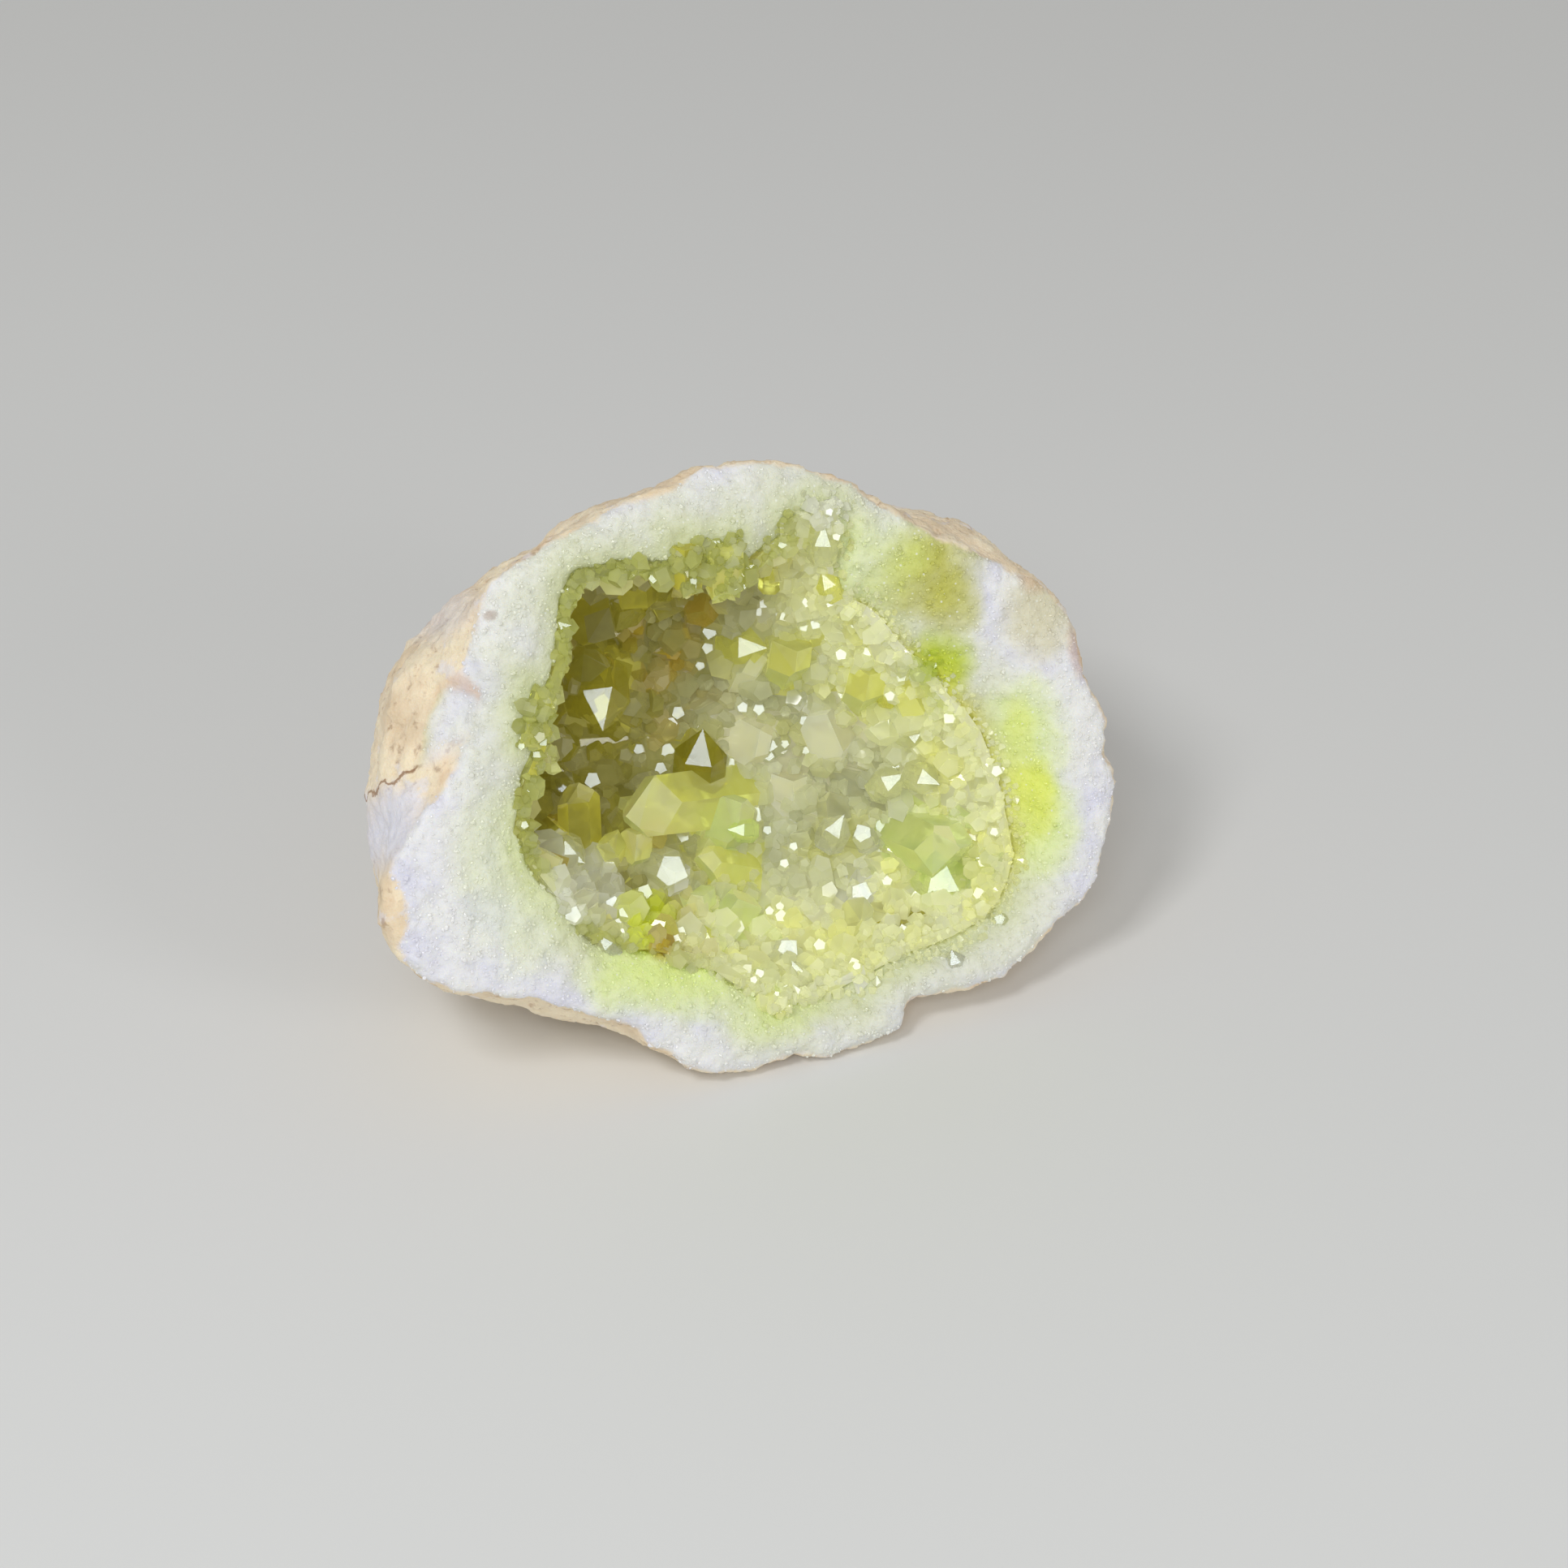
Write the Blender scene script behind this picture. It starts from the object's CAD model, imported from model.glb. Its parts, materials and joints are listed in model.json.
"""The looks of a broken-open geode half: sugary white quartz, a weathered tan rind and citrine druse.

Sizes are in millimetres unless a line says otherwise, and MM turns them into metres. The frame of
the break has x across the broken face, y up it and z out of it, from its middle.
"""

import json
import math

import bpy
import numpy as np
from mathutils import Euler, Matrix, Vector, kdtree, noise
from mathutils.bvhtree import BVHTree

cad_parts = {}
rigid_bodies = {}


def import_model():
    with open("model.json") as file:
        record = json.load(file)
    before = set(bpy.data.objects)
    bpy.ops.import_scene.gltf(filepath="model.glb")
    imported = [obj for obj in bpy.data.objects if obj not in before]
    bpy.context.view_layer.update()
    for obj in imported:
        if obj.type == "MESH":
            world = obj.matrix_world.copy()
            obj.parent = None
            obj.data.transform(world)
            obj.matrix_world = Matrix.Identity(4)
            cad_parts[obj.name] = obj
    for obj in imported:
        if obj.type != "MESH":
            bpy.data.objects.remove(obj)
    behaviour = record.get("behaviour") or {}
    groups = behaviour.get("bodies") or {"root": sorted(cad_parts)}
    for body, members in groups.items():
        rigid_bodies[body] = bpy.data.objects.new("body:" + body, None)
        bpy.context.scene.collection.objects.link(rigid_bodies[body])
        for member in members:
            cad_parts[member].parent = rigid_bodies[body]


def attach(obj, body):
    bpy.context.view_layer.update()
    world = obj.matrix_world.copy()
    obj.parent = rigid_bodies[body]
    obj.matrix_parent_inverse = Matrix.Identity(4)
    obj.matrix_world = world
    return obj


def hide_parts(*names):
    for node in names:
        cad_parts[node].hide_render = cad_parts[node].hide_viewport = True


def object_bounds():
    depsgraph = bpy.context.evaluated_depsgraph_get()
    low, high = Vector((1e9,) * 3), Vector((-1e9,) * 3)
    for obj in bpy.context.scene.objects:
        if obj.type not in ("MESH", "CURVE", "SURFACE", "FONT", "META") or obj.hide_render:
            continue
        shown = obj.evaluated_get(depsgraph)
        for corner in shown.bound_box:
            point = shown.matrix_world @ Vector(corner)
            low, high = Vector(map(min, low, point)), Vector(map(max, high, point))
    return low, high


MM = 0.001

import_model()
CAD_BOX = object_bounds()

# How the broken face lies in the part.
BREAK_CENTRE = Vector((1.2, -13.0, 39.2)) * MM
BREAK_TURN = math.radians(22)
BREAK_TILT = math.radians(25)
TO_PART = Matrix.LocRotScale(BREAK_CENTRE, Euler((math.pi / 2 - BREAK_TILT, 0, BREAK_TURN)), None)
TO_BREAK = TO_PART.inverted()
EYE = Vector((4, -480, 334)) * MM  # from the middle of the break, in the part's axes

# The wall: its mesh, and its unevenness as (size, height).
WALL_GRAIN = 0.62  # between the points of its mesh
WALL_SMOOTHING = 8  # rounds
BASE_HEIGHT = 0.6  # below it the stone stays flat, so that it rests well
SUGAR_LUMPS = (3.0, 0.46)
SUGAR_GRIT = (0.9, 0.10)
RIND_LUMPS = (6.0, 0.6)
RIND_GRIT = (1.6, 0.3)
RIND_PITS = (2.6, 0.45)
RIND_STARTS = 0.9  # behind the break
STONE_MIDDLE = (0, 0, -14)
MOUTH_REACH = 20  # from the middle of the break: no sugar grain is nearer
DEEPEST_GRAIN = -9  # out of the break: no sugar grain or lip crystal is deeper in the hollow

# The fine crystals. The widths of the grains and the lip are the least and the most, and the lip's
# get finer to the right. Those of the other two are about what they are on the left and on the
# right of the hollow.
SUGAR_GRAINS = {"count": 6500, "widths": (0.35, 0.7), "sparkling": 0.15, "seed": 5}
LIP_DRUSE = {"on_rim": 2600, "on_crust": 1500, "widths": (1.0, 2.4), "spacing": 0.7, "seed": 13}
COARSE_DRUSE = {"count": 1000, "widths": (5.2, 3.6), "spacing": 0.85, "sparkling": 0.0, "seed": 11}
FINE_DRUSE = {"count": 4200, "widths": (2.8, 2.1), "spacing": 0.75, "sparkling": 0.13, "seed": 12}
TINT_SEED = 5
CRUST_THICKNESS = 3.0  # where the ground between the big crystals is bare
CRYSTAL_REACH = 0.66  # how far from a big crystal's axis its colour goes, in widths
WORN_EDGE = 0.09

# Colours, linear.
WHITE_QUARTZ = (0.88, 0.87, 0.84)
LAVENDER_WHITE = (0.80, 0.79, 0.86)
PALE_GREEN = (0.77, 0.78, 0.60)
RIM_GREEN = (0.68, 0.72, 0.36)
LIP_GREEN = (0.56, 0.58, 0.17)
TAN = (0.80, 0.64, 0.44)
PALE_TAN = (0.95, 0.80, 0.58)
IVORY = (0.74, 0.69, 0.46)
ORANGE_TAN = (0.66, 0.34, 0.14)
BROWN = (0.30, 0.15, 0.06)
LIME = (0.58, 0.68, 0.015)
BRIGHT_LIME = (0.80, 0.86, 0.05)
SOFT_LIME = (0.80, 0.90, 0.34)
OLIVE_LIME = (0.58, 0.57, 0.10)
YELLOW_ORANGE = (0.60, 0.44, 0.03)
CREAM = (0.93, 0.94, 0.66)
LEMON = (0.97, 0.96, 0.30)
YELLOW = (0.76, 0.71, 0.13)
GREEN = (0.90, 1.0, 0.50)
OLIVE = (0.45, 0.41, 0.06)
AMBER = (0.64, 0.49, 0.07)
CLEAR = (0.93, 0.94, 0.86)
MILKY = (0.94, 0.92, 0.72)

# Quartz.
WALL_IOR = 1.54
CITRINE_IOR = 1.544
ABSORPTION = 40.0  # for each metre of clear quartz
ABSORPTION_COLOUR = (0.85, 0.85, 0.40)
WALL_GLOW = 0.05
DRUSE_GLOW = 0.09
BRIGHT_FACED_GLOW = 0.03

# Stains on the break, where they are seen: (across, up, reach across, reach up, strength, colour).
STAINS = [
    (28.8, 8.2, 5.4, 5.8, 1.0, LIME),
    (28.7, 21.5, 9.5, 7.5, 1.0, OLIVE_LIME),
    (31.6, 15.5, 5, 5, 0.75, OLIVE_LIME),
    (22, 24, 9, 7, 0.5, SOFT_LIME),
    (39.5, -4, 7, 9, 0.8, SOFT_LIME),
    (39.3, -17, 7, 9, 0.75, SOFT_LIME),
    (38.8, -12.5, 4.4, 7, 0.7, BRIGHT_LIME),
    (38.6, -3, 3, 5, 0.3, BRIGHT_LIME),
    (-18, -23.5, 12, 7, 0.95, SOFT_LIME),
    (-18.2, -17.7, 5.5, 5, 1.0, LIME),
    (-16.5, -20.6, 2.6, 3.0, 0.9, YELLOW_ORANGE),
    (-12, -28, 8, 5, 0.7, SOFT_LIME),
    (-3, -33.5, 9, 5, 0.5, SOFT_LIME),
    (-36, -8, 8, 14, 0.25, SOFT_LIME),
    (-32.5, 27.6, 1.2, 0.9, 0.5, BROWN),
    (44, 12, 6.5, 8, 0.85, IVORY),
    (44, 17.5, 3, 3, 0.4, ORANGE_TAN),
    (49, 6, 2, 5, 0.4, ORANGE_TAN),
]

# Stains of the druse, where they are seen: (across, up, reach, colour).
DRUSE_STAINS = [
    (-26.5, -10.5, 7.0, CLEAR),
    (-21.5, -15.5, 4.0, CLEAR),
    (-18.2, -17.2, 5.0, BRIGHT_LIME),
    (-16.8, -20.8, 2.0, YELLOW_ORANGE),
    (27.8, 8.6, 3.6, LIME),
    (-8.5, 16.5, 3.6, AMBER),
    (-3.9, 22.1, 2.2, AMBER),
    (27.6, -17.0, 2.0, YELLOW_ORANGE),
    (16.0, 33.0, 6.0, CLEAR),
]

# Patches of the rind, in the same way as the stains of the break.
RIND_PATCHES = [
    (-38, 17, 4.5, 4, 0.9, ORANGE_TAN),
    (-50.6, 2.7, 6.5, 6.5, 1.0, LAVENDER_WHITE),
    (-40, 30, 7, 5, 0.5, LAVENDER_WHITE),
]
# A piece of the rind that reaches onto the broken rim: (across, up, reach across, reach up).
SCAB = (-53.6, -7.5, 3.4, 5.8)

# The crack in the rind on the left: its line is up = height + slope * across.
CRACK_HEIGHT = 23.8
CRACK_SLOPE = 0.3
CRACK_ENDS = (-46.5, -44)  # across, where it fades

# The crystals that stand out: root seen (across, up), tip seen, tip's depth, width, colour.
MAIN_CRYSTALS = {
    "big_lemon_prism": ((-3.5, -3.2), (-19.5, -1.6), 16, 9.8, LEMON),
    "green_beside_prism": ((-6.5, -8.5), (-3.0, -4.5), 16, 7.6, GREEN),
    "white_face": ((-13.5, -13), (-14, -11.5), 15, 5.8, CLEAR),
    "pale_wedge": ((-3, -13.8), (-11, -10.6), 19, 5.8, LEMON),
    "green_stub": ((-6.5, -19.5), (-4.2, -17.2), 13, 6.8, GREEN),
    "green_bead": ((-10.2, -17), (-10.1, -15.2), 15, 4.6, GREEN),
    "green_drop": ((-10.2, -24), (-10.8, -19.5), 12, 4.6, GREEN),
    "olive_column": ((-26, -6.5), (-24.4, 4.8), 21, 6.2, YELLOW),
    "white_wedge": ((-27, -8), (-29.7, -4.5), 19, 4.6, CREAM),
    "clear_lower_left": ((-26.5, -14), (-27.7, -9.5), 16, 4.2, CREAM),
    "granular_yellow_left": ((-21, -8), (-22, -4.5), 18, 5.2, LEMON),
    "granular_yellow": ((-18, -8.5), (-18.5, -5.5), 17, 5.8, LEMON),
    "kite": ((-17.5, 17), (-20.7, 9.6), 23, 6.4, YELLOW),
    "white_triangle": ((-8.5, 1), (-7.3, 6.8), 21, 5.6, YELLOW),
    "left_glint": ((-25, 2.5), (-27.5, 4.4), 24, 4.0, OLIVE),
    "upper_left_slab": ((-21, 27), (-14.5, 20), 19, 8.6, OLIVE),
    "upper_left_block": ((-13, 29), (-10, 22), 18, 7.4, YELLOW),
    "upper_left_low": ((-23, 19), (-17.5, 16.5), 22, 7.0, OLIVE),
    "hanging_point_left": ((-4.5, 30), (-5.4, 24.1), 4, 4.6, YELLOW),
    "hanging_point_right": ((0.5, 29), (-0.2, 21.6), 5, 5.4, LEMON),
    "notch_left": ((10.5, 31), (10.6, 26), 5, 4.0, CREAM),
    "notch_right": ((15.5, 31.5), (14.7, 25.4), 4, 4.2, CREAM),
    "bright_ledge": ((0, 12.5), (2.4, 16), 19, 6.0, CREAM),
    "yellow_ball": ((6.5, 12.5), (8.4, 15), 14, 6.8, LEMON),
    "right_lump_left": ((17, 7), (18.6, 9.4), 9, 7.0, LEMON),
    "right_lump_top": ((21, 12), (21.5, 13.2), 4, 5.8, CREAM),
    "right_lump_low": ((23, 4), (24.4, 5.2), 7, 6.2, LEMON),
    "milky_left": ((-0.5, 3), (0.6, 5), 21, 7.6, MILKY),
    "milky_right": ((11, 1.5), (11.4, 4), 16, 8.2, MILKY),
    "milky_low": ((4, -4), (5, -2.4), 21, 6.0, MILKY),
    "pointed_green": ((20.5, -14), (28.0, -19.2), 4, 8.8, GREEN),
    "white_low_right": ((12.5, -21.5), (12, -18.6), 13, 5.0, CLEAR),
    "olive_hexagon": ((17.3, -26), (17.3, -24.5), 8, 4.4, OLIVE),
    "green_rod": ((-2.6, -32.4), (-4.5, -26.2), 7, 3.0, GREEN),
    "clear_low": ((9.5, -33), (9.6, -32), 1, 5.0, CLEAR),
    "left_edge_low": ((-30.4, 7.6), (-27.6, 7.6), 1.5, 3.6, YELLOW),
    "left_edge_middle": ((-29.6, 11.2), (-26.6, 10.2), 2, 4.2, LEMON),
    "left_edge_high": ((-28.2, 14.8), (-25.8, 13.2), 2, 3.6, LEMON),
}

# Crystals with one bright face that mirrors the light: where that is seen (across, up), the
# width, the way that the crystal leans from the face in degrees, and the colour.
NARROW_FACED = {
    "kite": (-19.9, 13.2, 8.4, 262, YELLOW),
    "triangle": (-7.3, 3.5, 7.4, 96, OLIVE),
    "ledge": (1.8, 16.1, 5.8, 180, LEMON),
    "notch": (14.7, 28.3, 4.4, 90, CREAM),
    "notch_low": (14.3, 22.4, 3.4, 60, LEMON),
    "right_a": (18.9, -6.1, 4.6, 150, CREAM),
    "right_b": (24.0, -7.0, 4.4, 200, CREAM),
    "lump": (20.6, 6.7, 3.6, 100, LEMON),
    "mid_a": (10.0, -10.7, 4.6, 120, CLEAR),
    "pointed": (23.9, -21.0, 9.0, 80, GREEN),
    "low_b": (1.3, -29.1, 4.0, 60, CLEAR),
    "far_low": (23.9, -32.6, 3.0, 70, CLEAR),
    "hang_a": (6.4, 25.1, 3.2, 90, LEMON),
    "hang_b": (3.2, 26.5, 3.0, 150, LEMON),
    "wedge": (-27.6, -5.8, 5.6, 210, CREAM),
    "stub": (-3.7, -7.9, 3.4, 0, GREEN),
    "drop": (-10.9, -21.3, 4.0, 80, LEMON),
    "rim_left": (-24.7, -18.8, 3.0, 45, CLEAR),
    "clear_middle": (23.4, -0.6, 3.8, 140, CREAM),
}
BROAD_FACED = {
    "left": (-27.0, 4.0, 4.2, 180, OLIVE),
    "square": (-13.8, -11.3, 5.8, 200, CREAM),
    "round": (17.5, 16.3, 2.6, 40, CREAM),
    "mid_b": (13.6, -12.2, 3.4, 60, CLEAR),
    "low_right": (12.2, -20.2, 3.8, 110, CLEAR),
    "low_a": (0.6, -25.5, 3.8, 130, CLEAR),
    "far_right": (31.4, -28.6, 2.0, 20, CREAM),
}
# The studio: each light's place in metres, its size, its power and its colour.
MIRRORED_LIGHT = (-0.08, -0.82, 0.70)
LIGHTS = {
    "key_light": ((-0.34, -0.50, 0.80), 0.22, 2.7, (1, 1, 1)),
    "fill_light": ((0.62, -0.60, 0.45), 0.25, 1.1, (1, 1, 1)),
    "front_light": (MIRRORED_LIGHT, 0.25, 2.0, (0.82, 0.91, 1.0)),
}
WORLD_COLOUR = (1, 0.99, 0.96, 1)
WORLD_STRENGTH = 0.4
FLOOR_COLOUR = (0.78, 0.78, 0.77)
FLOOR_HALF = 3.0  # metres
CAMERA_TARGET = BREAK_CENTRE + Vector((3.924, -1.313, -1.875)) * MM
CAMERA_DISTANCE = 585 * MM
CAMERA_RISE = math.radians(35)


# Numbers of a material, which can be added, taken away and multiplied


class Value:
    """A socket that gives a number. An expression on it adds the Math nodes."""

    def __init__(self, paint, socket):
        self.paint = paint
        self.socket = socket

    def calculate(self, operation, other):
        made = self.paint.node("ShaderNodeMath", {"operation": operation}, self, other)
        return Value(self.paint, made.outputs[0])

    def __add__(self, other):
        return self.calculate("ADD", other)

    def __sub__(self, other):
        return self.calculate("SUBTRACT", other)

    def __rsub__(self, other):
        return self * -1 + other

    def __mul__(self, other):
        return self.calculate("MULTIPLY", other)

    def sharpen(self, low, high):
        """0 below low, 1 above high, and a smooth rise between."""
        settings = {"interpolation_type": "SMOOTHSTEP"}
        made = self.paint.node("ShaderNodeMapRange", settings, self, low, high)
        return Value(self.paint, made.outputs[0])


class Paint:
    """One material and the nodes in it."""

    def __init__(self, name):
        self.material = bpy.data.materials.new(name)
        self.material.use_nodes = True
        self.tree = self.material.node_tree
        self.shader = self.tree.nodes["Principled BSDF"]

    def node(self, kind, settings, *values, **named_values):
        """A node with its settings, then the values or links of its sockets."""
        made = self.tree.nodes.new(kind)
        for setting, value in settings.items():
            setattr(made, setting, value)
        for number, value in enumerate(values):
            self.plug(made.inputs[number], value)
        for socket_name, value in named_values.items():
            self.plug(made.inputs[socket_name.replace("_", " ")], value)
        return made

    def plug(self, socket, value):
        if isinstance(value, Value):
            value = value.socket
        if isinstance(value, bpy.types.NodeSocket):
            self.tree.links.new(value, socket)
        elif isinstance(value, tuple) and len(value) == 3 and socket.type == "RGBA":
            socket.default_value = (*value, 1)
        else:
            socket.default_value = value

    def set(self, **values):
        """Values or links of the main shader."""
        for socket_name, value in values.items():
            self.plug(self.shader.inputs[socket_name.replace("_", " ")], value)

    def place(self):
        """The place on the part, in metres."""
        return self.node("ShaderNodeTexCoord", {}).outputs["Object"]

    def attribute(self, name):
        made = self.node("ShaderNodeAttribute", {"attribute_name": name})
        return Value(self, made.outputs["Fac"])

    def colour_attribute(self, name):
        return self.node("ShaderNodeAttribute", {"attribute_name": name}).outputs["Color"]

    def noise(self, size, detail=3.0, roughness=0.55):
        """Cloudy noise with features of a size."""
        made = self.node(
            "ShaderNodeTexNoise", {}, Vector=self.place(), Scale=1 / (size * MM), Detail=detail,
            Roughness=roughness,
        )
        return Value(self, made.outputs["Fac"])

    def cells(self, size):
        """How far it is to the middle of the nearest of many grains of a size."""
        made = self.node("ShaderNodeTexVoronoi", {}, Vector=self.place(), Scale=1 / (size * MM))
        return Value(self, made.outputs["Distance"])

    def blend(self, share, low, high, kind="MIX"):
        """One colour turning into another."""
        settings = {"data_type": "RGBA", "blend_type": kind}
        made = self.node("ShaderNodeMix", settings)
        self.plug(made.inputs[0], share)
        self.plug(made.inputs[6], low)
        self.plug(made.inputs[7], high)
        return made.outputs[2]

    def bump(self, height, distance):
        made = self.node("ShaderNodeBump", {}, Height=height, Distance=distance * MM, Strength=1.0)
        return made.outputs["Normal"]


# Meshes


def points_of(mesh):
    flat = np.empty(len(mesh.vertices) * 3)
    mesh.vertices.foreach_get("co", flat)
    return flat.reshape(-1, 3)


def normals_of(mesh):
    flat = np.empty(len(mesh.vertices) * 3)
    mesh.vertices.foreach_get("normal", flat)
    return flat.reshape(-1, 3)


def faces_of(mesh):
    """(middles, normals, areas) of the faces."""
    count = len(mesh.polygons)
    middles, normals, areas = np.empty(count * 3), np.empty(count * 3), np.empty(count)
    mesh.polygons.foreach_get("center", middles)
    mesh.polygons.foreach_get("normal", normals)
    mesh.polygons.foreach_get("area", areas)
    return middles.reshape(-1, 3), normals.reshape(-1, 3), areas


def unit(vectors):
    return vectors / np.linalg.norm(vectors, axis=1)[:, None]


def on_break(points):
    """Points of the part in the frame of the break, in millimetres."""
    turn = np.array(TO_BREAK.to_3x3())
    return (points - np.array(BREAK_CENTRE)) @ turn.T / MM


def seen_on_break(points):
    """Where on the break the eye of the photo sees points of the part, in millimetres."""
    eye = np.array(TO_BREAK.to_3x3() @ EYE) / MM
    place = on_break(points)
    return eye + (place - eye) * (eye[2] / (eye[2] - place[:, 2]))[:, None]


def smooth_rise(value, low, high):
    share = np.clip((value - low) / (high - low), 0, 1)
    return share * share * (3 - 2 * share)


def stone_noise(points, size, detail=0):
    """Noise of a size at each point, from about -1 to 1."""
    spots = points / (size * MM)
    if detail:
        return np.array([noise.fractal(spot, 1.0, 2.0, detail) for spot in spots])
    return np.array([noise.noise(spot) for spot in spots])


def add_numbers(mesh, name, numbers):
    layer = mesh.attributes.new(name, "FLOAT", "POINT")
    layer.data.foreach_set("value", np.asarray(numbers, dtype=np.float32))


def add_colours(mesh, name, colours, domain="POINT"):
    layer = mesh.attributes.new(name, "FLOAT_COLOR", domain)
    full = np.ones((len(colours), 4), dtype=np.float32)
    full[:, :3] = colours
    layer.data.foreach_set("color", full.ravel())


def copy_of_node(name, copy_name):
    """A mesh object like a node of the CAD."""
    node = next(obj for obj in bpy.data.objects if obj.name == name)
    piece = bpy.data.objects.new(copy_name, node.data.copy())
    piece.data.materials.clear()
    piece.matrix_world = node.matrix_world.copy()
    bpy.context.scene.collection.objects.link(piece)
    return piece


def apply_modifiers(piece):
    """Makes what the modifiers of a piece give its own mesh."""
    bpy.context.view_layer.update()
    graph = bpy.context.evaluated_depsgraph_get()
    mesh = bpy.data.meshes.new_from_object(piece.evaluated_get(graph))
    piece.modifiers.clear()
    piece.data = mesh


def tree_of(piece):
    mesh = piece.data
    return BVHTree.FromPolygons(
        [vert.co for vert in mesh.vertices], [tuple(face.vertices) for face in mesh.polygons]
    )


def finish_piece(piece, slot, *nodes):
    """Ties a piece to the part, its slot and the nodes that it stands for."""
    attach(piece, "root")
    if nodes:
        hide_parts(*nodes)


# The wall of the geode


def distances_to(tree, points, reach):
    """How far each point is from a mesh, in millimetres, up to a reach."""
    far = []
    for point in points:
        _, _, _, distance = tree.find_nearest(Vector(point), reach * MM)
        far.append(reach if distance is None else distance / MM)
    return np.array(far)


def rind_share(points, normals):
    """1 on the weathered outside, 0 on the broken face and in the hollow, ragged between."""
    place = on_break(points)
    facing = on_break(points + normals * MM) - place
    from_middle = place - np.array(STONE_MIDDLE)
    outward = np.sum(from_middle * facing, axis=1) / np.linalg.norm(from_middle, axis=1)
    ragged = stone_noise(points, 5) * 1.3 + stone_noise(points, 1.6) * 0.5
    behind = smooth_rise(-place[:, 2] - RIND_STARTS + ragged, -0.35, 0.35)
    rind = behind * smooth_rise(outward, 0.0, 0.25) * smooth_rise(-facing[:, 2], -0.8, -0.6)
    seen = seen_on_break(points)
    across, up, reach_across, reach_up = SCAB
    from_scab = np.hypot((seen[:, 0] - across) / reach_across, (seen[:, 1] - up) / reach_up)
    from_scab += ragged * 0.1
    return np.maximum(rind, 1 - smooth_rise(from_scab, 0.85, 1.0))


def uneven(points, size_and_height, detail=0):
    size, height = size_and_height
    return stone_noise(points, size, detail) * height


def wall_relief(points, rind):
    """How far the stone stands out, in metres: sugary on the break, pitted on the rind."""
    sugar = uneven(points, SUGAR_LUMPS, 3) + uneven(points, SUGAR_GRIT)
    crusty = uneven(points, RIND_LUMPS, 4) + uneven(points, RIND_GRIT, 3)
    pit_size, pit_depth = RIND_PITS
    pits = smooth_rise(stone_noise(points, pit_size), 0.3, 0.55) * pit_depth
    return (sugar * (1 - rind) + (crusty - pits) * rind) * MM


def make_wall(crust_tree):
    wall = copy_of_node("geode_shell", "geode_wall")
    remesh = wall.modifiers.new("fine_mesh", "REMESH")
    remesh.mode = "VOXEL"
    remesh.voxel_size = WALL_GRAIN * MM
    smooth = wall.modifiers.new("soften", "SMOOTH")
    smooth.iterations = WALL_SMOOTHING
    apply_modifiers(wall)
    mesh = wall.data
    points, normals = points_of(mesh), normals_of(mesh)
    rind = rind_share(points, normals)
    above_base = smooth_rise(points[:, 2], 0.1 * MM, BASE_HEIGHT * MM)
    shaped = points + normals * (wall_relief(points, rind) * above_base)[:, None]
    shaped = np.clip(shaped, np.array(CAD_BOX[0]), np.array(CAD_BOX[1]))
    mesh.vertices.foreach_set("co", shaped.ravel())
    mesh.update()
    mark_stone(mesh, shaped, rind, crust_tree)
    mesh.shade_smooth()
    mesh.materials.append(stone_material("sugary_quartz_and_rind", roughness=0.5, softness=0.5))
    finish_piece(wall, "white_quartz", "geode_shell")
    return wall


def mark_stone(mesh, points, rind, crust_tree):
    """Keeps on the points what the paint of the stone needs."""
    seen = seen_on_break(points)
    add_numbers(mesh, "across", seen[:, 0])
    add_numbers(mesh, "up", seen[:, 1])
    add_numbers(mesh, "out", on_break(points)[:, 2])
    add_numbers(mesh, "rind", rind)
    add_numbers(mesh, "from_crystals", distances_to(crust_tree, points, 20))


def stain_masks(paint, stains):
    """(share, colour) of each stain."""
    across, up = paint.attribute("across"), paint.attribute("up")
    wander = (paint.noise(5) - 0.5) * 0.9
    for middle_across, middle_up, reach_across, reach_up, strength, colour in stains:
        far_across = (across - middle_across) * (1 / reach_across)
        far_up = (up - middle_up) * (1 / reach_up)
        nearness = 1 - (far_across * far_across + far_up * far_up) + wander
        yield nearness.sharpen(-0.25, 1.1) * strength, colour


def quartz_colour(paint):
    """White to lavender outside, grey-green towards the crystals, with the stains."""
    cloudy = paint.noise(7)
    from_crystals = paint.attribute("from_crystals")
    colour = paint.blend(cloudy.sharpen(0.35, 0.65), WHITE_QUARTZ, LAVENDER_WHITE)
    near_crystals = 1 - (from_crystals + (cloudy - 0.5) * 9).sharpen(0.5, 12)
    colour = paint.blend(near_crystals, colour, PALE_GREEN)
    at_mouth = 1 - (from_crystals + (cloudy - 0.5) * 5).sharpen(0, 5)
    colour = paint.blend(at_mouth * 0.5, colour, RIM_GREEN)
    for share, stain in stain_masks(paint, STAINS):
        colour = paint.blend(share, colour, stain)
    in_hollow = 1 - paint.attribute("out").sharpen(-7, -3)
    colour = paint.blend(in_hollow * 0.8, colour, YELLOW)
    mottled = paint.noise(1.8, 6, 0.7).sharpen(0.36, 0.64)
    colour = paint.blend((1 - mottled) * 0.2, colour, colour, "MULTIPLY")
    flecks = 1 - paint.cells(1.3).sharpen(0.08, 0.16)
    return paint.blend(flecks * 0.6, colour, CLEAR)


def crack_mask(paint):
    wander = (paint.noise(3, 4) - 0.5) * 4
    line = paint.attribute("across") * CRACK_SLOPE + CRACK_HEIGHT
    from_crack = paint.attribute("up") - line + wander
    in_crack = 1 - (from_crack * from_crack).sharpen(0.004, 0.12)
    return in_crack * (1 - paint.attribute("across").sharpen(*CRACK_ENDS))


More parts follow.
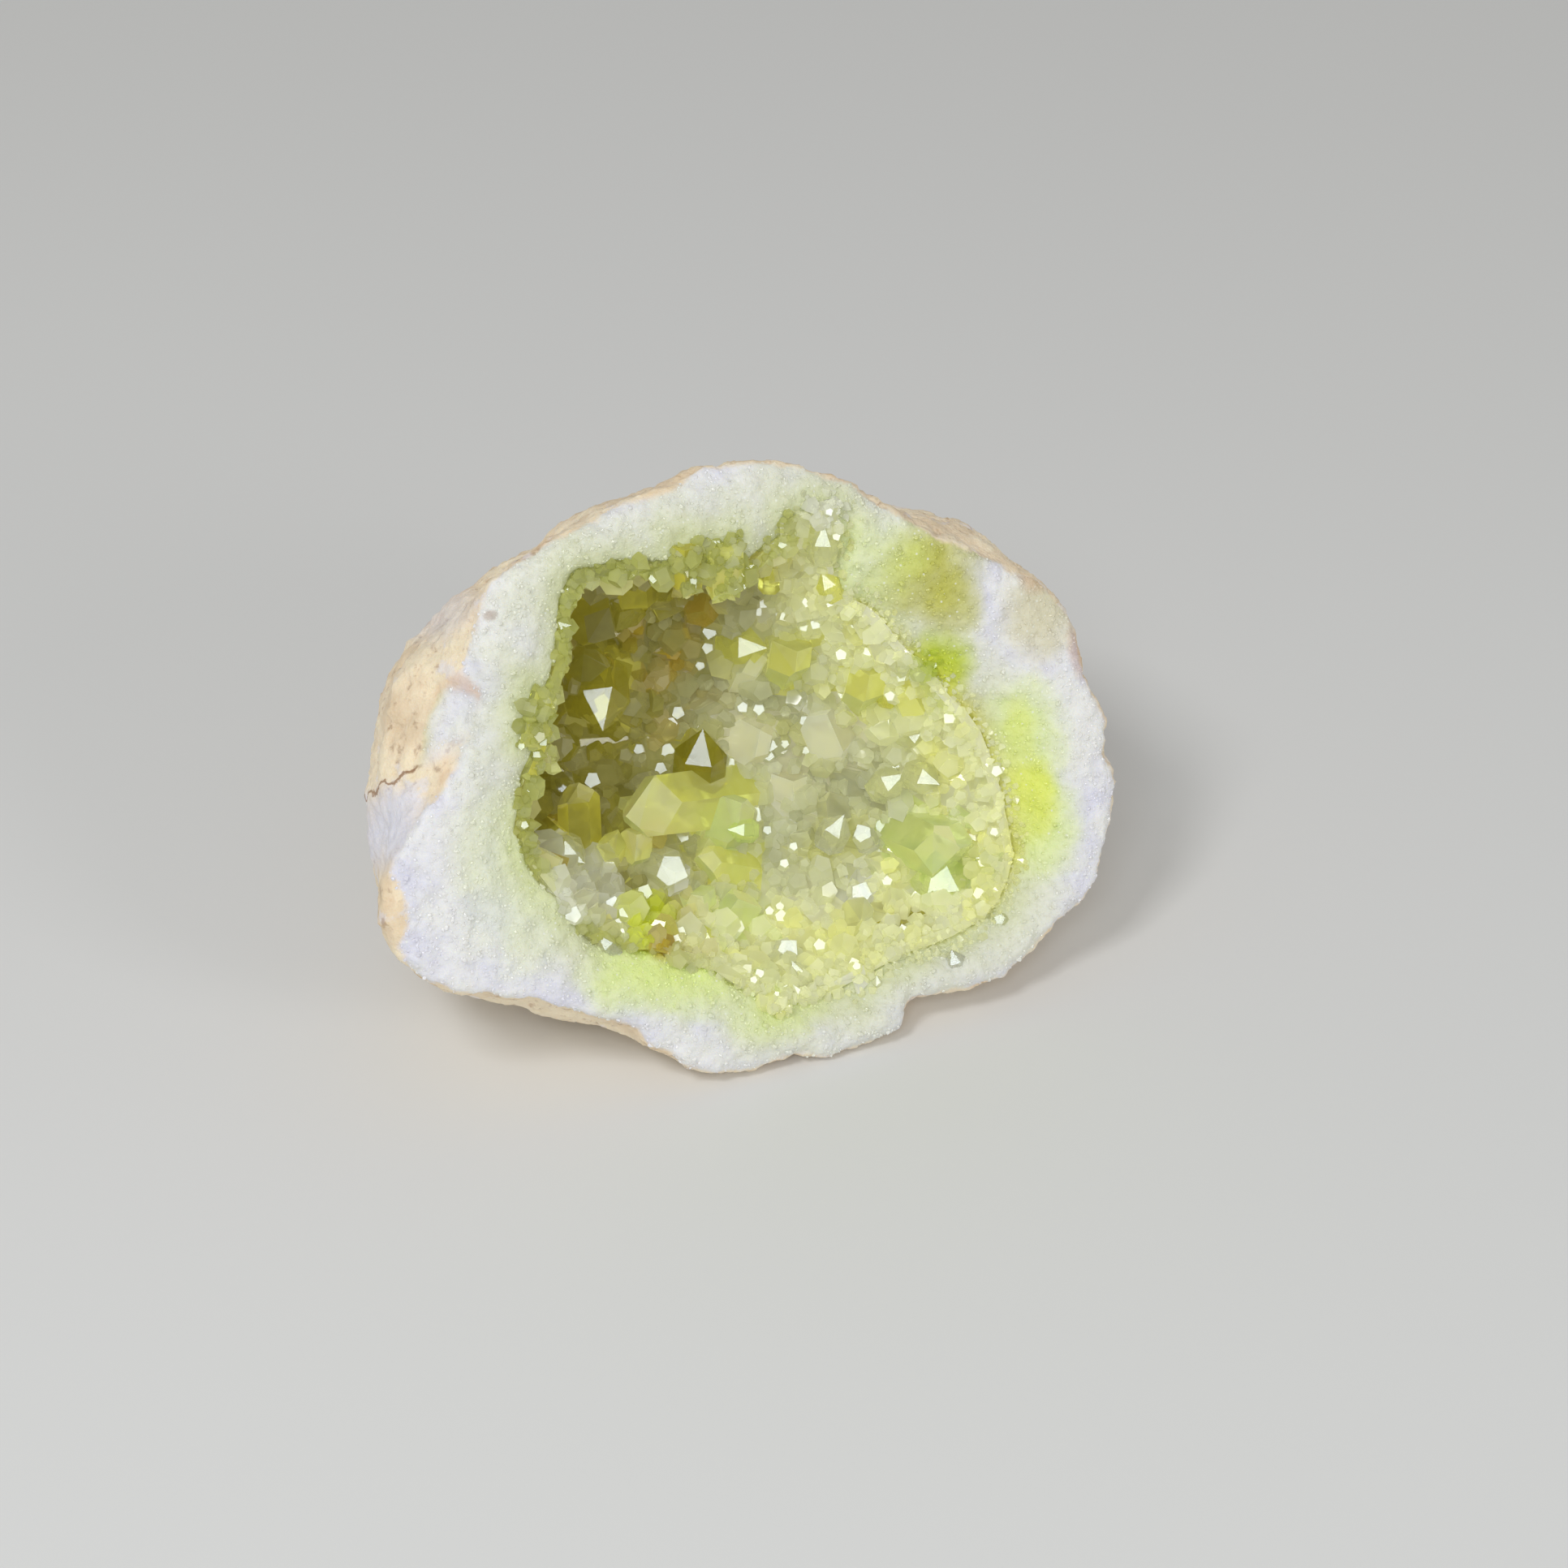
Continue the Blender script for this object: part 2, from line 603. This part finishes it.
def rind_colour(paint):
    """Tan, clouded with orange, pale quartz and brown."""
    colour = paint.blend(paint.noise(9).sharpen(0.3, 0.58), TAN, PALE_TAN)
    colour = paint.blend(paint.noise(14, 5).sharpen(0.56, 0.7) * 0.55, colour, ORANGE_TAN)
    colour = paint.blend(paint.noise(5, 5).sharpen(0.58, 0.66) * 0.5, colour, LAVENDER_WHITE)
    colour = paint.blend(paint.noise(1.6, 5).sharpen(0.56, 0.72) * 0.5, colour, BROWN)
    for share, patch in stain_masks(paint, RIND_PATCHES):
        colour = paint.blend(share, colour, patch)
    return paint.blend(crack_mask(paint) * 0.8, colour, BROWN)


def stone_material(name, roughness, softness):
    """Sugary quartz with its stains, and the tan rind outside."""
    paint = Paint(name)
    rind = paint.attribute("rind")
    colour = paint.blend(rind, quartz_colour(paint), rind_colour(paint))
    paint.set(
        Base_Color=colour,
        Roughness=rind * 0.35 + roughness,
        Normal=paint.bump(paint.noise(0.8, 4) * 0.4 + paint.noise(2.6, 4), 0.6),
        Emission_Color=colour,
        Emission_Strength=WALL_GLOW,
        IOR=WALL_IOR,
        Subsurface_Weight=softness,
        Subsurface_Scale=1.6 * MM,
        Subsurface_Radius=(1.0, 0.9, 0.7),
    )
    return paint.material


# Crystals, many at a time

# The points of a crystal: six round the root, six where its faces lean in, and the tip.
HEXAGON = [(math.cos(math.radians(turn)), math.sin(math.radians(turn))) for turn in range(0, 360, 60)]
POINT_SHAPE = np.array(
    [(*corner, 0) for corner in HEXAGON] + [(*corner, 1) for corner in HEXAGON] + [(0, 0, 1)]
)
APEX = 12  # the number of the tip
MIDDLES = [13, 14, 15]  # the three more points of a crystal that ends in three faces
CAP_SHARE = 0.55  # of the width: with it the faces of the point lean as quartz's do
FACE_LEAN = math.radians(51.8)  # between the axis and the way that a face of the point looks
ROOT_FACE = [(5, 4, 3, 2, 1, 0)]
SIX_FACED = ROOT_FACE + [
    (side, (side + 1) % 6, 6 + (side + 1) % 6, 6 + side) for side in range(6)
] + [(6 + side, 6 + (side + 1) % 6, APEX) for side in range(6)]
THREE_FACED = ROOT_FACE + [
    (side, side + 1, 7 + side, 6 + side) for side in (0, 2, 4)
] + [
    (side, (side + 1) % 6, 6 + (side + 1) % 6, MIDDLES[side // 2], 6 + side) for side in (1, 3, 5)
] + [
    (6 + side, 7 + side, MIDDLES[side // 2], APEX, MIDDLES[side // 2 - 1]) for side in (0, 2, 4)
]


def crystal_frames(axes, rolls):
    """Three directions for each crystal, the last along it."""
    helper = np.where(np.abs(axes[:, 2:3]) < 0.9, (0.0, 0.0, 1.0), (1.0, 0.0, 0.0))
    first = unit(np.cross(helper, axes))
    second = np.cross(axes, first)
    cosine, sine = np.cos(rolls)[:, None], np.sin(rolls)[:, None]
    return first * cosine + second * sine, second * cosine - first * sine, axes


def even_points(widths, heights):
    """The points of regular crystals, standing on the origin."""
    shapes = np.repeat(POINT_SHAPE[None], len(widths), axis=0)
    shapes[:, :, :2] *= (widths / 2)[:, None, None]
    shapes[:, 6:12, 2] = (heights - (widths * CAP_SHARE).clip(0, heights * 0.95))[:, None]
    shapes[:, APEX, 2] = heights
    return shapes


def three_faced_points(widths, heights):
    """The points of crystals that end in three big faces, each with five sides."""
    shapes = even_points(widths, heights)
    to_middle = [math.radians(angle) for angle in (90, 210, 330)]
    across = widths[:, None] / 2 * math.cos(math.radians(30))
    drop = (heights - shapes[:, 6, 2]) / 2
    level = (heights - drop)[:, None] * [1, 1, 1]
    middles = np.stack((across * np.cos(to_middle), across * np.sin(to_middle), level), axis=2)
    return np.concatenate((shapes, middles), axis=1)


def uneven_points(widths, heights, chance):
    """The points of crystals whose faces have grown at different rates."""
    count = len(widths)
    shapes = even_points(widths, heights)
    cap = heights - shapes[:, 6, 2]
    shapes[:, 7:12:2, 2] -= (cap * chance.uniform(0.1, 0.6, count))[:, None]
    shapes[:, 7:12:2, 2] = np.maximum(shapes[:, 7:12:2, 2], (heights * 0.05)[:, None])
    shapes[:, APEX, :2] = chance.uniform(-0.15, 0.15, (count, 2)) * widths[:, None]
    shapes[:, :, 0] *= chance.uniform(0.8, 1.0, count)[:, None]
    return shapes


def field_of_crystals(name, roots, frames, shapes, shape_faces=SIX_FACED):
    """One mesh of many six-sided crystals, each on its root, all in metres."""
    first, second, along = frames
    points = (
        roots[:, None] + shapes[:, :, 0:1] * first[:, None] + shapes[:, :, 1:2] * second[:, None]
        + shapes[:, :, 2:3] * along[:, None]
    )
    faces = []
    for start in range(0, points.shape[0] * points.shape[1], points.shape[1]):
        faces += [[start + corner for corner in face] for face in shape_faces]
    mesh = bpy.data.meshes.new(name)
    mesh.from_pydata(points.reshape(-1, 3), [], faces)
    piece = bpy.data.objects.new(name, mesh)
    bpy.context.scene.collection.objects.link(piece)
    return piece


def spread_out(points, spacings):
    """The numbers of the points that are left when each keeps its spacing from those before it."""
    tree = kdtree.KDTree(len(points))
    for number, point in enumerate(points):
        tree.insert(point, number)
    tree.balance()
    kept = np.zeros(len(points), dtype=bool)
    for number, point in enumerate(points):
        near = tree.find_range(point, spacings[number])
        kept[number] = not any(kept[other] for _, other, _ in near)
    return np.flatnonzero(kept)


def scatter(mesh, weights, count, chance):
    """(points, normals) at random on faces that are picked by weight."""
    middles, normals, areas = faces_of(mesh)
    shares = weights * areas
    picked = chance.choice(len(areas), count, p=shares / shares.sum())
    loops = np.array([mesh.polygons[number].vertices[:3] for number in picked])
    mix = chance.dirichlet((1, 1, 1), count)
    corners = points_of(mesh)[loops]
    return (corners * mix[:, :, None]).sum(axis=1), normals[picked]


def mirror_frames(middles, leans=None, normals=None):
    """Directions with which one face of each crystal mirrors the light to the front."""
    to_camera = unit(np.array(BREAK_CENTRE + EYE) - middles)
    facing = unit(to_camera + unit(np.array(MIRRORED_LIGHT) - middles))
    sideways = unit(np.cross(facing, (0, 0, 1)))
    upward = np.cross(sideways, facing)
    if leans is None:
        leans = np.arctan2((normals * upward).sum(axis=1), (normals * sideways).sum(axis=1))
    leaning_to = sideways * np.cos(leans)[:, None] + upward * np.sin(leans)[:, None]
    along = facing * math.cos(FACE_LEAN) + leaning_to * math.sin(FACE_LEAN)
    outward = unit(facing - along * math.cos(FACE_LEAN))
    half_side = math.radians(30)
    first = outward * math.cos(half_side) - np.cross(along, outward) * math.sin(half_side)
    return (first, np.cross(along, first), along), outward


def make_some_sparkle(frames, middles, normals, share, chance):
    """Turns a share of the crystals so that they mirror the light."""
    turned, _ = mirror_frames(middles, normals=normals)
    standing = (turned[2] * normals).sum(axis=1) > 0.3
    sparkling = (standing & (chance.uniform(0, 1, len(middles)) < share))[:, None]
    return [np.where(sparkling, new, old) for new, old in zip(turned, frames)]


def leaning(normals, lean, chance):
    return unit(normals + chance.normal(0, lean, normals.shape))


# The sugary grains of the break


def numbers_on_faces(mesh, name):
    """A number that was kept on the points, for each face."""
    numbers = np.empty(len(mesh.vertices))
    mesh.attributes[name].data.foreach_get("value", numbers)
    return numbers[[face.vertices[0] for face in mesh.polygons]]


def make_sugar_grains(wall, crust_tree):
    mesh = wall.data
    middles, _, _ = faces_of(mesh)
    chance = np.random.default_rng(SUGAR_GRAINS["seed"])
    place = on_break(middles)
    outside_mouth = np.hypot(place[:, 0], place[:, 1]) > MOUTH_REACH
    weights = (numbers_on_faces(mesh, "rind") < 0.4) * (place[:, 2] > DEEPEST_GRAIN) * outside_mouth
    points, normals = scatter(mesh, weights, SUGAR_GRAINS["count"], chance)
    widths = chance.uniform(*SUGAR_GRAINS["widths"], len(points)) * MM
    axes = leaning(normals, 0.55, chance)
    heights = widths * chance.uniform(1.05, 1.35, len(points))
    frames = crystal_frames(axes, chance.uniform(0, math.tau, len(points)))
    frames = make_some_sparkle(frames, points, normals, SUGAR_GRAINS["sparkling"], chance)
    roots = points - frames[2] * widths[:, None] * 0.9
    shapes = even_points(widths, heights)
    grains = field_of_crystals("sugar_grains", roots, frames, shapes)
    shaped = points_of(grains.data).clip(np.array(CAD_BOX[0]), np.array(CAD_BOX[1]))
    grains.data.vertices.foreach_set("co", shaped.ravel())
    mark_stone(grains.data, shaped, np.zeros(len(shaped)), crust_tree)
    glassy = stone_material("sugar_grains_of_quartz", roughness=0.16, softness=0.0)
    grains.data.materials.append(glassy)
    finish_piece(grains, "white_quartz")


# The druse of the hollow


def sight(across, up):
    """The eye, and the way it looks through a point of the break, in the frame of the break."""
    eye = TO_BREAK.to_3x3() @ EYE
    return eye, (Vector((across, up, 0)) * MM - eye).normalized()


def stone_seen_at(stone_tree, across, up):
    eye, look = sight(across, up)
    point, _, _, _ = stone_tree.ray_cast(TO_PART @ eye, TO_PART.to_3x3() @ look)
    return point


def point_seen_at(across, up, depth):
    eye, look = sight(across, up)
    return TO_PART @ (eye + look * (-depth * MM - eye.z) / look.z)


def ground_colours(points, chance):
    """The colour of the druse at each point: olive and deep on the left, cream to the right."""
    place = on_break(points)
    to_left = smooth_rise(-place[:, 0] + place[:, 1] * 0.5, -10, 14)
    deep = smooth_rise(-place[:, 2], 3, 16)
    dark = (to_left * (0.25 + 0.75 * deep))[:, None]
    patches = smooth_rise(stone_noise(points, 6), 0.0, 0.5)[:, None]
    pale = np.array(CREAM) * (1 - patches * 0.4) + np.array(LEMON) * patches * 0.4
    pale *= (1 - 0.2 * smooth_rise(-place[:, 2], 15, 23))[:, None]
    shade = np.array(YELLOW) * (1 - deep)[:, None] + np.array(OLIVE) * deep[:, None]
    colours = pale * (1 - dark) + shade * dark
    amber = (smooth_rise(stone_noise(points, 5, 2), 0.28, 0.5) * to_left * 0.7)[:, None]
    colours = colours * (1 - amber) + np.array(AMBER) * amber
    at_lip = (smooth_rise(place[:, 2], -6, -1.5) * smooth_rise(to_left, -0.2, 1.0) * 0.9)[:, None]
    colours = colours * (1 - at_lip) + np.array(LIP_GREEN) * at_lip
    seen = seen_on_break(points)
    for across, up, reach, colour in DRUSE_STAINS:
        far = np.hypot(seen[:, 0] - across, seen[:, 1] - up)
        stained = (1 - smooth_rise(far, reach * 0.4, reach))[:, None] * 0.85
        colours = colours * (1 - stained) + np.array(colour) * stained
    return colours * chance.uniform(0.9, 1.08, len(points))[:, None]


def crystal_colours(mesh, stone_tree, chance):
    """A colour for each face of the crust: that of its crystal, or else that of the ground."""
    middles, normals, _ = faces_of(mesh)
    colours = ground_colours(middles, chance)
    nearest = np.full(len(middles), CRYSTAL_REACH)
    for root_at, tip_at, depth, width, colour in MAIN_CRYSTALS.values():
        root = np.array(stone_seen_at(stone_tree, *root_at))
        tip = np.array(point_seen_at(*tip_at, depth))
        along = tip - root
        share = ((middles - root) @ along / (along @ along)).clip(0.1, 1)
        away = np.linalg.norm(middles - root - share[:, None] * along, axis=1) / (width * MM)
        closer = away < nearest
        nearest[closer] = away[closer]
        paler = (smooth_rise(share, 0.55, 1) * 0.5)[:, None]
        tints = np.array(colour) * (1 - paler) + np.array(CLEAR) * paler
        if colour == LEMON:
            below = (smooth_rise(-normals[:, 2], 0.0, 0.5) * 0.7)[:, None]
            tints = tints * (1 - below) + np.array(GREEN) * below
        colours[closer] = tints[closer]
    each_face_apart = 1 + 0.2 * np.sin(normals @ (5.0, 3.0, 4.0))
    return (colours * each_face_apart[:, None]).clip(0, 1)


def make_big_crystals(stone_tree):
    crystals = copy_of_node("crystal_crust", "citrine_crystals")
    mesh = crystals.data
    colours = crystal_colours(mesh, stone_tree, np.random.default_rng(TINT_SEED))
    sides = np.array([face.loop_total for face in mesh.polygons])
    add_colours(mesh, "tint", np.repeat(colours, sides, axis=0), "CORNER")
    milky = citrine_material("clear_citrine", clearness=0.65, roughness=0.03, softness=0.4)
    mesh.materials.append(milky)
    worn_edges = crystals.modifiers.new("worn_edges", "BEVEL")
    worn_edges.width = WORN_EDGE * MM
    worn_edges.limit_method = "ANGLE"
    worn_edges.angle_limit = math.radians(25)
    apply_modifiers(crystals)
    crystals.data.shade_flat()
    finish_piece(crystals, "citrine", "crystal_crust")


def make_druse(name, stone_tree, crust, count, widths, spacing, sparkling, seed):
    """Smaller crystals on the bare ground between the big ones."""
    mesh = crust.data
    middles, normals, _ = faces_of(mesh)
    bare = np.zeros(len(middles))
    for number, middle in enumerate(middles):
        near, _, _, distance = stone_tree.find_nearest(Vector(middle))
        away = (Vector(middle) - near).dot(Vector(normals[number])) > 0
        bare[number] = away and distance < CRUST_THICKNESS * MM
    chance = np.random.default_rng(seed)
    points, normals = scatter(mesh, bare, count, chance)
    place = on_break(points)
    fineness = smooth_rise(place[:, 0] - place[:, 1] * 0.5, -22, 14) * chance.uniform(0.8, 1, count)
    sizes = (widths[0] * (1 - fineness) + widths[1] * fineness) * chance.uniform(0.7, 1.2, count)
    sizes *= 1 - 0.45 * smooth_rise(place[:, 2], -7, -1.5)
    kept = spread_out(points, sizes * spacing * MM)
    points, normals, sizes = points[kept], normals[kept], sizes[kept] * MM
    axes = leaning(normals, 0.35, chance)
    heights = sizes * chance.uniform(0.7, 1.4, len(sizes))
    frames = crystal_frames(axes, chance.uniform(0, math.tau, len(sizes)))
    frames = make_some_sparkle(frames, points, normals, sparkling, chance)
    roots = points - frames[2] * sizes[:, None] * 0.35
    shapes = three_faced_points(sizes, heights)
    druse = field_of_crystals(name, roots, frames, shapes, THREE_FACED)
    tints = ground_colours(points, chance)
    whiter = (chance.uniform(0, 1, len(points)) ** 3 * 0.35)[:, None]
    tints = tints * (1 - whiter) + np.array(CLEAR) * whiter
    add_colours(druse.data, "tint", np.repeat(tints, shapes.shape[1], axis=0))
    druse.data.materials.append(citrine_material(name + "_quartz", clearness=0.6, roughness=0.06))
    finish_piece(druse, "citrine")


# Crystals with a bright face: the places, the points, the faces, and the middle of the bright
# face of a crystal 1 wide as (out from the axis, below the tip).
BRIGHT_FACED = {
    "narrow_faced_crystals": (NARROW_FACED, even_points, SIX_FACED, (0.29, 0.37)),
    "broad_faced_crystals": (BROAD_FACED, three_faced_points, THREE_FACED, (0.24, 0.31)),
}


def make_bright_faced_crystals(name, crust_tree, stone_tree):
    """The crystals of the druse that each mirror the light with one face."""
    places, shape_points, shape_faces, (face_out, face_below) = BRIGHT_FACED[name]
    across, up, widths, leans, colours = zip(*places.values())
    middles = np.array([
        stone_seen_at(crust_tree, *seen) or stone_seen_at(stone_tree, *seen)
        for seen in zip(across, up)
    ])
    widths = np.array(widths) * MM
    middles += unit(np.array(BREAK_CENTRE + EYE) - middles) * widths[:, None] * 0.25
    frames, outward = mirror_frames(middles, np.radians(leans))
    heights = widths * 1.3
    shapes = shape_points(widths, heights)
    face_up = heights - widths * face_below
    roots = middles - outward * (widths * face_out)[:, None] - frames[2] * face_up[:, None]
    crystals = field_of_crystals(name, roots, frames, shapes, shape_faces)
    add_colours(crystals.data, "tint", np.repeat(np.array(colours), shapes.shape[1], axis=0))
    clear = citrine_material(name + "_quartz", clearness=0.85, roughness=0.04, glow=BRIGHT_FACED_GLOW)
    crystals.data.materials.append(clear)
    finish_piece(crystals, "citrine")


def make_lip_druse(wall, crust, on_rim, on_crust, widths, spacing, seed):
    """Fine crystals over the seam of the druse and the broken rim, reaching further on the right."""
    mesh = wall.data
    place = on_break(faces_of(mesh)[0])
    chance = np.random.default_rng(seed)
    reach = 0.4 + smooth_rise(place[:, 0], 0, 25) * 2.2
    near_crust = (numbers_on_faces(mesh, "from_crystals") < reach) * (place[:, 2] > DEEPEST_GRAIN)
    at_edge = (on_break(faces_of(crust.data)[0])[:, 2] > -6) * 1.0
    rim_spots = scatter(mesh, near_crust, on_rim, chance)
    crust_spots = scatter(crust.data, at_edge, on_crust, chance)
    points, normals = (np.concatenate(pair) for pair in zip(rim_spots, crust_spots))
    finer = 1 - 0.4 * smooth_rise(on_break(points)[:, 0], 0, 25)
    sizes = chance.uniform(*widths, len(points)) * finer
    kept = spread_out(points, sizes * spacing * MM)
    points, normals, sizes = points[kept], normals[kept], sizes[kept] * MM
    axes = leaning(normals, 0.4, chance)
    roots = points - axes * sizes[:, None] * 0.3
    frames = crystal_frames(axes, chance.uniform(0, math.tau, len(sizes)))
    shapes = uneven_points(sizes, sizes * chance.uniform(0.7, 1.2, len(sizes)), chance)
    lip = field_of_crystals("lip_druse", roots, frames, shapes)
    tints = ground_colours(points, chance)
    add_colours(lip.data, "tint", np.repeat(tints, len(POINT_SHAPE), axis=0))
    lip.data.materials.append(citrine_material("lip_quartz", clearness=0.5, roughness=0.06))
    finish_piece(lip, "citrine")


def citrine_material(name, clearness, roughness, softness=0.0, glow=DRUSE_GLOW):
    """See-through quartz that takes its colour from each crystal.

    The glow stands for the light that the hollow's crystals scatter among themselves.
    """
    paint = Paint(name)
    cloud = paint.noise(2.5, 4)
    tint = paint.colour_attribute("tint")
    paint.set(
        Base_Color=paint.blend(cloud.sharpen(0.3, 0.7) * 0.3, tint, tint, "MULTIPLY"),
        Roughness=cloud.sharpen(0.55, 0.75) * 0.12 + roughness,
        IOR=CITRINE_IOR,
        Transmission_Weight=clearness,
        Emission_Color=tint,
        Emission_Strength=glow,
        Subsurface_Weight=softness,
        Subsurface_Scale=2.0 * MM,
        Subsurface_Radius=(1.0, 1.0, 0.5),
    )
    settings = {"Color": ABSORPTION_COLOUR, "Density": ABSORPTION}
    absorbed = paint.node("ShaderNodeVolumeAbsorption", {}, **settings)
    paint.tree.links.new(absorbed.outputs[0], paint.tree.nodes["Material Output"].inputs["Volume"])
    return paint.material


# The studio


def add_light(name, place, size, power, colour):
    """A square lamp that looks at the middle of the break."""
    lamp = bpy.data.lights.new(name, "AREA")
    lamp.color = colour
    lamp.size = size
    lamp.energy = power
    light = bpy.data.objects.new(name, lamp)
    light.location = place
    light.rotation_euler = (BREAK_CENTRE - Vector(place)).to_track_quat("-Z", "Y").to_euler()
    bpy.context.scene.collection.objects.link(light)


def make_studio():
    mesh = bpy.data.meshes.new("studio_floor")
    corners = [(x * FLOOR_HALF, y * FLOOR_HALF, 0) for x, y in ((-1, -1), (1, -1), (1, 1), (-1, 1))]
    mesh.from_pydata(corners, [], [(0, 1, 2, 3)])
    floor = bpy.data.objects.new("studio_floor", mesh)
    bpy.context.scene.collection.objects.link(floor)
    paint = Paint("pale_floor")
    paint.set(Base_Color=FLOOR_COLOUR, Roughness=0.7)
    mesh.materials.append(paint.material)

    world = bpy.data.worlds.new("pale_room")
    world.use_nodes = True
    background = world.node_tree.nodes["Background"]
    background.inputs["Color"].default_value = WORLD_COLOUR
    background.inputs["Strength"].default_value = WORLD_STRENGTH
    bpy.context.scene.world = world
    bpy.context.scene.view_settings.view_transform = "Standard"
    for name, settings in LIGHTS.items():
        add_light(name, *settings)


def make_camera():
    towards_camera = Vector((0, -math.cos(CAMERA_RISE), math.sin(CAMERA_RISE)))
    lens = bpy.data.cameras.new("camera")
    lens.lens = 100
    lens.sensor_width = 36
    lens.clip_start = 0.01
    camera = bpy.data.objects.new("camera", lens)
    camera.location = CAMERA_TARGET + towards_camera * CAMERA_DISTANCE
    camera.rotation_euler = (math.pi / 2 - CAMERA_RISE, 0, 0)
    bpy.context.scene.collection.objects.link(camera)
    bpy.context.scene.camera = camera


def main():
    crust = copy_of_node("crystal_crust", "crust_guide")
    stone = copy_of_node("geode_shell", "stone_guide")
    crust_tree, stone_tree = tree_of(crust), tree_of(stone)
    wall = make_wall(crust_tree)
    make_sugar_grains(wall, crust_tree)
    make_big_crystals(stone_tree)
    for name in BRIGHT_FACED:
        make_bright_faced_crystals(name, crust_tree, stone_tree)
    make_lip_druse(wall, crust, **LIP_DRUSE)
    make_druse("coarse_druse", stone_tree, crust, **COARSE_DRUSE)
    make_druse("fine_druse", stone_tree, crust, **FINE_DRUSE)
    for guide in (crust, stone):
        bpy.data.objects.remove(guide, do_unlink=True)
    make_studio()
    make_camera()


main()
